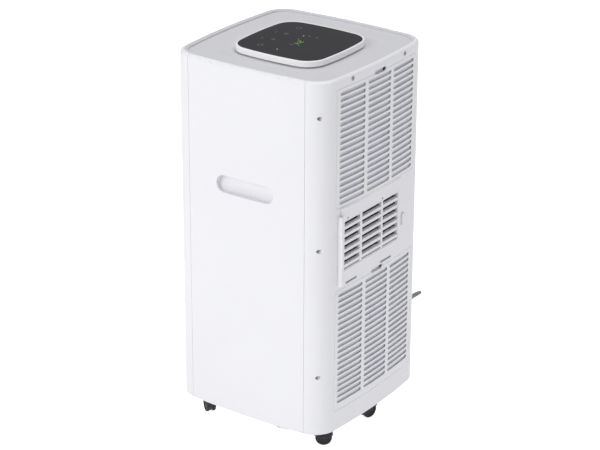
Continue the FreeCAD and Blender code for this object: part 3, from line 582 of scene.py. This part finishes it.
def flat_arc(bm, centre, radius, start, end, width, steps=28):
    angles = [math.radians(start + (end - start) * i / steps) for i in range(steps + 1)]
    points = [(centre[0] + radius * math.cos(a), centre[1] + radius * math.sin(a)) for a in angles]
    for one, two in zip(points, points[1:]):
        flat_bar(bm, one, two, width)


def power_mark(bm, x, y, s):
    flat_arc(bm, (x, y), s, 120, 420, BOLD)
    flat_bar(bm, (x, y + 0.3 * s), (x, y + 1.15 * s), BOLD)


def fan_mark(bm, x, y, s):
    for i in range(3):
        a = math.radians(90 + i * 120)
        centre = (x + 0.52 * s * math.cos(a), y + 0.52 * s * math.sin(a))
        flat_arc(bm, centre, 0.42 * s, 0, 360, THIN, 20)


def drop_mark(bm, x, y, s):
    flat_arc(bm, (x, y - 0.25 * s), 0.6 * s, -200, 20, THIN, 20)
    for side in (-1, 1):
        flat_bar(bm, (x + side * 0.56 * s, y - 0.04 * s), (x, y + s), THIN)


def timer_mark(bm, x, y, s):
    flat_arc(bm, (x, y), s, 0, 360, THIN)
    flat_bar(bm, (x, y), (x, y + 0.65 * s), THIN)
    flat_bar(bm, (x, y), (x + 0.45 * s, y), THIN)


def arrow_mark(bm, x, y, s, up):
    for side in (-1, 1):
        flat_bar(bm, (x + side * 0.8 * s, y - 0.4 * s * up), (x, y + 0.4 * s * up), BOLD)


def snow_mark(bm, x, y, s):
    for i in range(3):
        a = math.radians(90 + i * 60)
        d = (s * math.cos(a), s * math.sin(a))
        flat_bar(bm, (x - d[0], y - d[1]), (x + d[0], y + d[1]), THIN)


def moon_mark(bm, x, y, s):
    flat_arc(bm, (x, y), s, 60, 300, THIN)
    flat_arc(bm, (x + 0.55 * s, y), 0.87 * s, 95, 265, THIN)


SEGMENTS = {"2": "abged", "4": "fgbc"}


def digit(bm, x, y, text, w=0.0056, h=0.0105):
    """Seven-segment digit with its foot towards the front of the unit."""
    left, right, low, middle, high = x - w / 2, x + w / 2, y - h / 2, y, y + h / 2
    gap = 0.0006
    lines = {
        "a": ((left + gap, high), (right - gap, high)),
        "b": ((right, middle + gap), (right, high - gap)),
        "c": ((right, low + gap), (right, middle - gap)),
        "d": ((left + gap, low), (right - gap, low)),
        "e": ((left, low + gap), (left, middle - gap)),
        "f": ((left, middle + gap), (left, high - gap)),
        "g": ((left + gap, middle), (right - gap, middle)),
    }
    for name in SEGMENTS[text]:
        flat_bar(bm, *lines[name], SEGMENT)


def panel_piece(name, draw, material):
    bm = bmesh.new()
    draw(bm)
    piece = from_bmesh(name, bm)
    piece.location.z = MARK_Z
    paint(piece, material)
    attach(piece, "casing")
    return piece


def touch_marks(bm):
    row, front = -0.043, -0.063
    keys = ((-0.057, timer_mark), (-0.019, fan_mark), (0.020, snow_mark), (0.058, power_mark))
    for x, draw in keys:
        draw(bm, x, row, 0.0052)
    arrow_mark(bm, -0.016, front, 0.0050, -1)
    arrow_mark(bm, 0.025, front, 0.0050, 1)
    small = ((-0.030, -0.002, drop_mark), (0.026, -0.002, moon_mark), (-0.030, 0.014, fan_mark))
    for x, y, draw in small:
        draw(bm, x, y, 0.0030)


def small_lamps(places, radius):
    def draw(bm):
        for x, y in places:
            ring = [Vector((x + radius * math.cos(a), y + radius * math.sin(a), 0))
                    for a in (math.pi * i / 10 for i in range(20))]
            prism(bm, ring)
    return draw


def make_panel_marks():
    panel_piece("touch_marks", touch_marks, printed("mark_grey", (0.20, 0.20, 0.21), 0.12))

    def display(bm):
        digit(bm, 0.0035, 0.003, "2")
        digit(bm, 0.0135, 0.003, "4")
    panel_piece("display_digits", display, printed("display_green", (0.16, 0.34, 0.07), 0.55))
    red = printed("lamp_red", (0.62, 0.26, 0.30), 0.7)
    mode_places = ((-0.0257, -0.0112), (0.0599, -0.0063))
    panel_piece("mode_lamps", small_lamps(mode_places, 0.0014), red)
    panel_piece("level_lamps", small_lamps(((0.021, 0.011), (-0.006, -0.008)), 0.0008),
                printed("lamp_amber", (0.60, 0.46, 0.25), 0.5))


# ---- stage ----
LIGHTS = (                   # name, place, diameter, watts
    ("key", (3.4, -0.8, 2.3), 2.2, 54.0),
    ("top", (-0.3, 0.4, 3.4), 2.4, 40.0),
)
LIT_PLACE = (0.0, 0.0, 0.4)
WORLD_COLOUR, WORLD_STRENGTH = (0.97, 0.975, 1.0, 1.0), 0.43
FLOOR_HALF, FLOOR_Z = 14.0, -0.0004
FLOOR_GLOW, FLOOR_GLOW_SEEN = 0.40, 0.85         # towards the object, and towards the camera


def area_light(name, place, size, power):
    data = bpy.data.lights.new(name, "AREA")
    data.shape, data.size, data.energy = "DISK", size, power
    light = bpy.data.objects.new(name, data)
    bpy.context.scene.collection.objects.link(light)
    light.location = place
    light.rotation_mode = "QUATERNION"
    light.rotation_quaternion = (Vector(LIT_PLACE) - Vector(place)).to_track_quat("-Z", "Y")


def make_stage():
    bpy.context.scene.view_settings.view_transform = "Standard"
    world = bpy.data.worlds.new("studio")
    world.use_nodes = True
    background = world.node_tree.nodes["Background"]
    background.inputs["Color"].default_value = WORLD_COLOUR
    background.inputs["Strength"].default_value = WORLD_STRENGTH
    bpy.context.scene.world = world

    bm = bmesh.new()
    bmesh.ops.create_grid(bm, x_segments=8, y_segments=8, size=FLOOR_HALF)
    floor = from_bmesh("studio_floor", bm)
    floor.location.z = FLOOR_Z
    made = Material("pale_floor", (0.93, 0.93, 0.935), 0.6, specular=0.2)
    made.tint(made.spread(made.noise(1.5, 2.0), 0.0, 1.0), (0.92, 0.92, 0.93))
    made.set("Emission Color", (1.0, 1.0, 1.0, 1.0))
    seen = made.node("ShaderNodeLightPath").outputs["Is Camera Ray"]
    glow = made.spread(seen, FLOOR_GLOW, FLOOR_GLOW_SEEN, 0.0, 1.0)
    made.link(glow, made.shader.inputs["Emission Strength"])
    paint(floor, made.material)

    for name, place, size, power in LIGHTS:
        area_light(name, place, size, power)


make_camera()
cord = make_cord()
plug, blades = make_plug()
materials = make_materials()
finish_cad_nodes(materials)
paint(cord, materials["cord_rubber"])
paint(plug, materials["cord_rubber"])
paint(blades, materials["steel"])
make_panel_marks()
make_stage()
